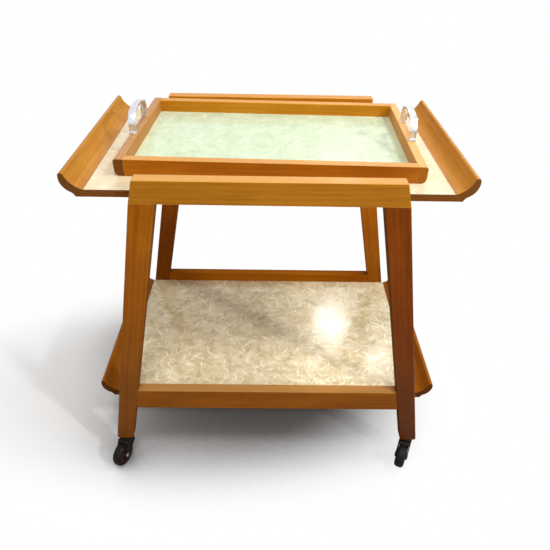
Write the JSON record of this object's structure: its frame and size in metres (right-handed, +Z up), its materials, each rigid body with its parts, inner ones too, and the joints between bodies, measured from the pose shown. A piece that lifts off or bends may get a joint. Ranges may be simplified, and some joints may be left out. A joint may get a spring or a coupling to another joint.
{
  "type": "drop leaf tea trolley",
  "caption": "Wooden tea trolley with splayed legs, drop leaf upper shelf, lower shelf with upturned cove ends, lift-off tray with bow handles, and swivel castors.",
  "frame": {"origin": "on the floor, under the middle of the frame", "axes": "+X along the trolley to its right end, +Y to its back, +Z up"},
  "size_m": [0.7038, 0.4899, 0.743],
  "materials": {
    "frame_wood": "glossy varnish",
    "cove_wood": "glossy varnish",
    "tray_wood": "satin varnish",
    "plywood": "stained edges",
    "dowel_wood": "bare",
    "cream_laminate": "satin",
    "pearl_laminate": "gloss, mother of pearl pattern",
    "green_laminate": "satin",
    "zinc_steel": "zinc plated",
    "polished_handle": "polished",
    "castor_steel": "dark, worn",
    "axle_steel": "dull",
    "tread": "hard, smooth",
    "hub_plastic": "satin"
  },
  "bodies": {
    "frame": {"back_left_leg": "frame_wood", "back_lower_rail": "frame_wood", "back_right_leg": "frame_wood", "back_top_rail": "frame_wood", "castor_sockets": "zinc_steel", "cross_bearers": "frame_wood", "fixed_hinge_flaps": "zinc_steel", "frame_dowels": "dowel_wood", "frame_screws": "zinc_steel", "front_left_leg": "frame_wood", "front_lower_rail": "frame_wood", "front_right_leg": "frame_wood", "front_top_rail": "frame_wood", "hinge_pins": "zinc_steel", "lower_left_cove": "cove_wood", "lower_right_cove": "cove_wood", "lower_shelf_board": "plywood", "lower_shelf_laminate": "pearl_laminate", "stay_keepers": "zinc_steel", "upper_shelf_board": "plywood", "upper_shelf_laminate": "cream_laminate"},
    "left_leaf": {"left_leaf_board": "plywood", "left_leaf_laminate": "cream_laminate", "left_leaf_cove": "cove_wood", "left_leaf_hinge_flaps": "zinc_steel", "left_quadrant_stay": "zinc_steel", "left_leaf_screws": "zinc_steel"},
    "right_leaf": {"right_leaf_board": "plywood", "right_leaf_laminate": "cream_laminate", "right_leaf_cove": "cove_wood", "right_leaf_hinge_flaps": "zinc_steel", "right_quadrant_stay": "zinc_steel", "right_leaf_screws": "zinc_steel"},
    "left_clamp": {"left_clamp_screw": "zinc_steel"},
    "right_clamp": {"right_clamp_screw": "zinc_steel"},
    "tray": {"tray_back_rail": "tray_wood", "tray_base": "plywood", "tray_front_rail": "tray_wood", "tray_handle_screws": "zinc_steel", "tray_laminate": "green_laminate", "tray_left_end": "tray_wood", "tray_left_handle": "polished_handle", "tray_right_end": "tray_wood", "tray_right_handle": "polished_handle"},
    "front_left_castor": {"front_left_castor_fork": "castor_steel", "front_left_castor_axle": "axle_steel"},
    "front_left_wheel": {"front_left_castor_tyre": "tread", "front_left_castor_hub": "hub_plastic"},
    "front_right_castor": {"front_right_castor_fork": "castor_steel", "front_right_castor_axle": "axle_steel"},
    "front_right_wheel": {"front_right_castor_tyre": "tread", "front_right_castor_hub": "hub_plastic"},
    "back_left_castor": {"back_left_castor_fork": "castor_steel", "back_left_castor_axle": "axle_steel"},
    "back_left_wheel": {"back_left_castor_tyre": "tread", "back_left_castor_hub": "hub_plastic"},
    "back_right_castor": {"back_right_castor_fork": "castor_steel", "back_right_castor_axle": "axle_steel"},
    "back_right_wheel": {"back_right_castor_tyre": "tread", "back_right_castor_hub": "hub_plastic"}
  },
  "joints": [
    {"name": "left_leaf_drop", "type": "hinge", "parent": "frame", "child": "left_leaf", "pos_m": [-0.215, 0, 0.655], "axis": [0, -1, 0], "range_deg": [0, 90]},
    {"name": "right_leaf_drop", "type": "hinge", "parent": "frame", "child": "right_leaf", "pos_m": [0.215, 0, 0.655], "axis": [0, 1, 0], "range_deg": [0, 90]},
    {"name": "left_clamp_turn", "type": "hinge", "parent": "frame", "child": "left_clamp", "pos_m": [-0.2086, -0.006, 0.6056], "axis": [0, 1, 0], "range_deg": [0, 180]},
    {"name": "right_clamp_turn", "type": "hinge", "parent": "frame", "child": "right_clamp", "pos_m": [0.2086, -0.006, 0.6056], "axis": [0, 1, 0], "range_deg": [0, 180]},
    {"name": "tray_lift", "type": "slide", "parent": "frame", "child": "tray", "axis": [0, 0, 1], "range_m": [0, 0.15]},
    {"name": "front_left_swivel", "type": "hinge", "parent": "frame", "child": "front_left_castor", "pos_m": [-0.318, -0.213, 0.085], "axis": [0, 0, 1], "continuous": true},
    {"name": "front_left_roll", "type": "hinge", "parent": "front_left_castor", "child": "front_left_wheel", "pos_m": [-0.32718, -0.23572, 0.0275], "axis": [0.9272, -0.3746, 0], "continuous": true},
    {"name": "front_right_swivel", "type": "hinge", "parent": "frame", "child": "front_right_castor", "pos_m": [0.318, -0.213, 0.085], "axis": [0, 0, 1], "continuous": true},
    {"name": "front_right_roll", "type": "hinge", "parent": "front_right_castor", "child": "front_right_wheel", "pos_m": [0.30765, -0.2352, 0.0275], "axis": [0.9063, -0.4226, 0], "continuous": true},
    {"name": "back_left_swivel", "type": "hinge", "parent": "frame", "child": "back_left_castor", "pos_m": [-0.318, 0.213, 0.085], "axis": [0, 0, 1], "continuous": true},
    {"name": "back_left_roll", "type": "hinge", "parent": "back_left_castor", "child": "back_left_wheel", "pos_m": [-0.32638, 0.18998, 0.0275], "axis": [0.9397, -0.342, 0], "continuous": true},
    {"name": "back_right_swivel", "type": "hinge", "parent": "frame", "child": "back_right_castor", "pos_m": [0.318, 0.213, 0.085], "axis": [0, 0, 1], "continuous": true},
    {"name": "back_right_roll", "type": "hinge", "parent": "back_right_castor", "child": "back_right_wheel", "pos_m": [0.30688, 0.19117, 0.0275], "axis": [0.891, -0.454, 0], "continuous": true}
  ]
}
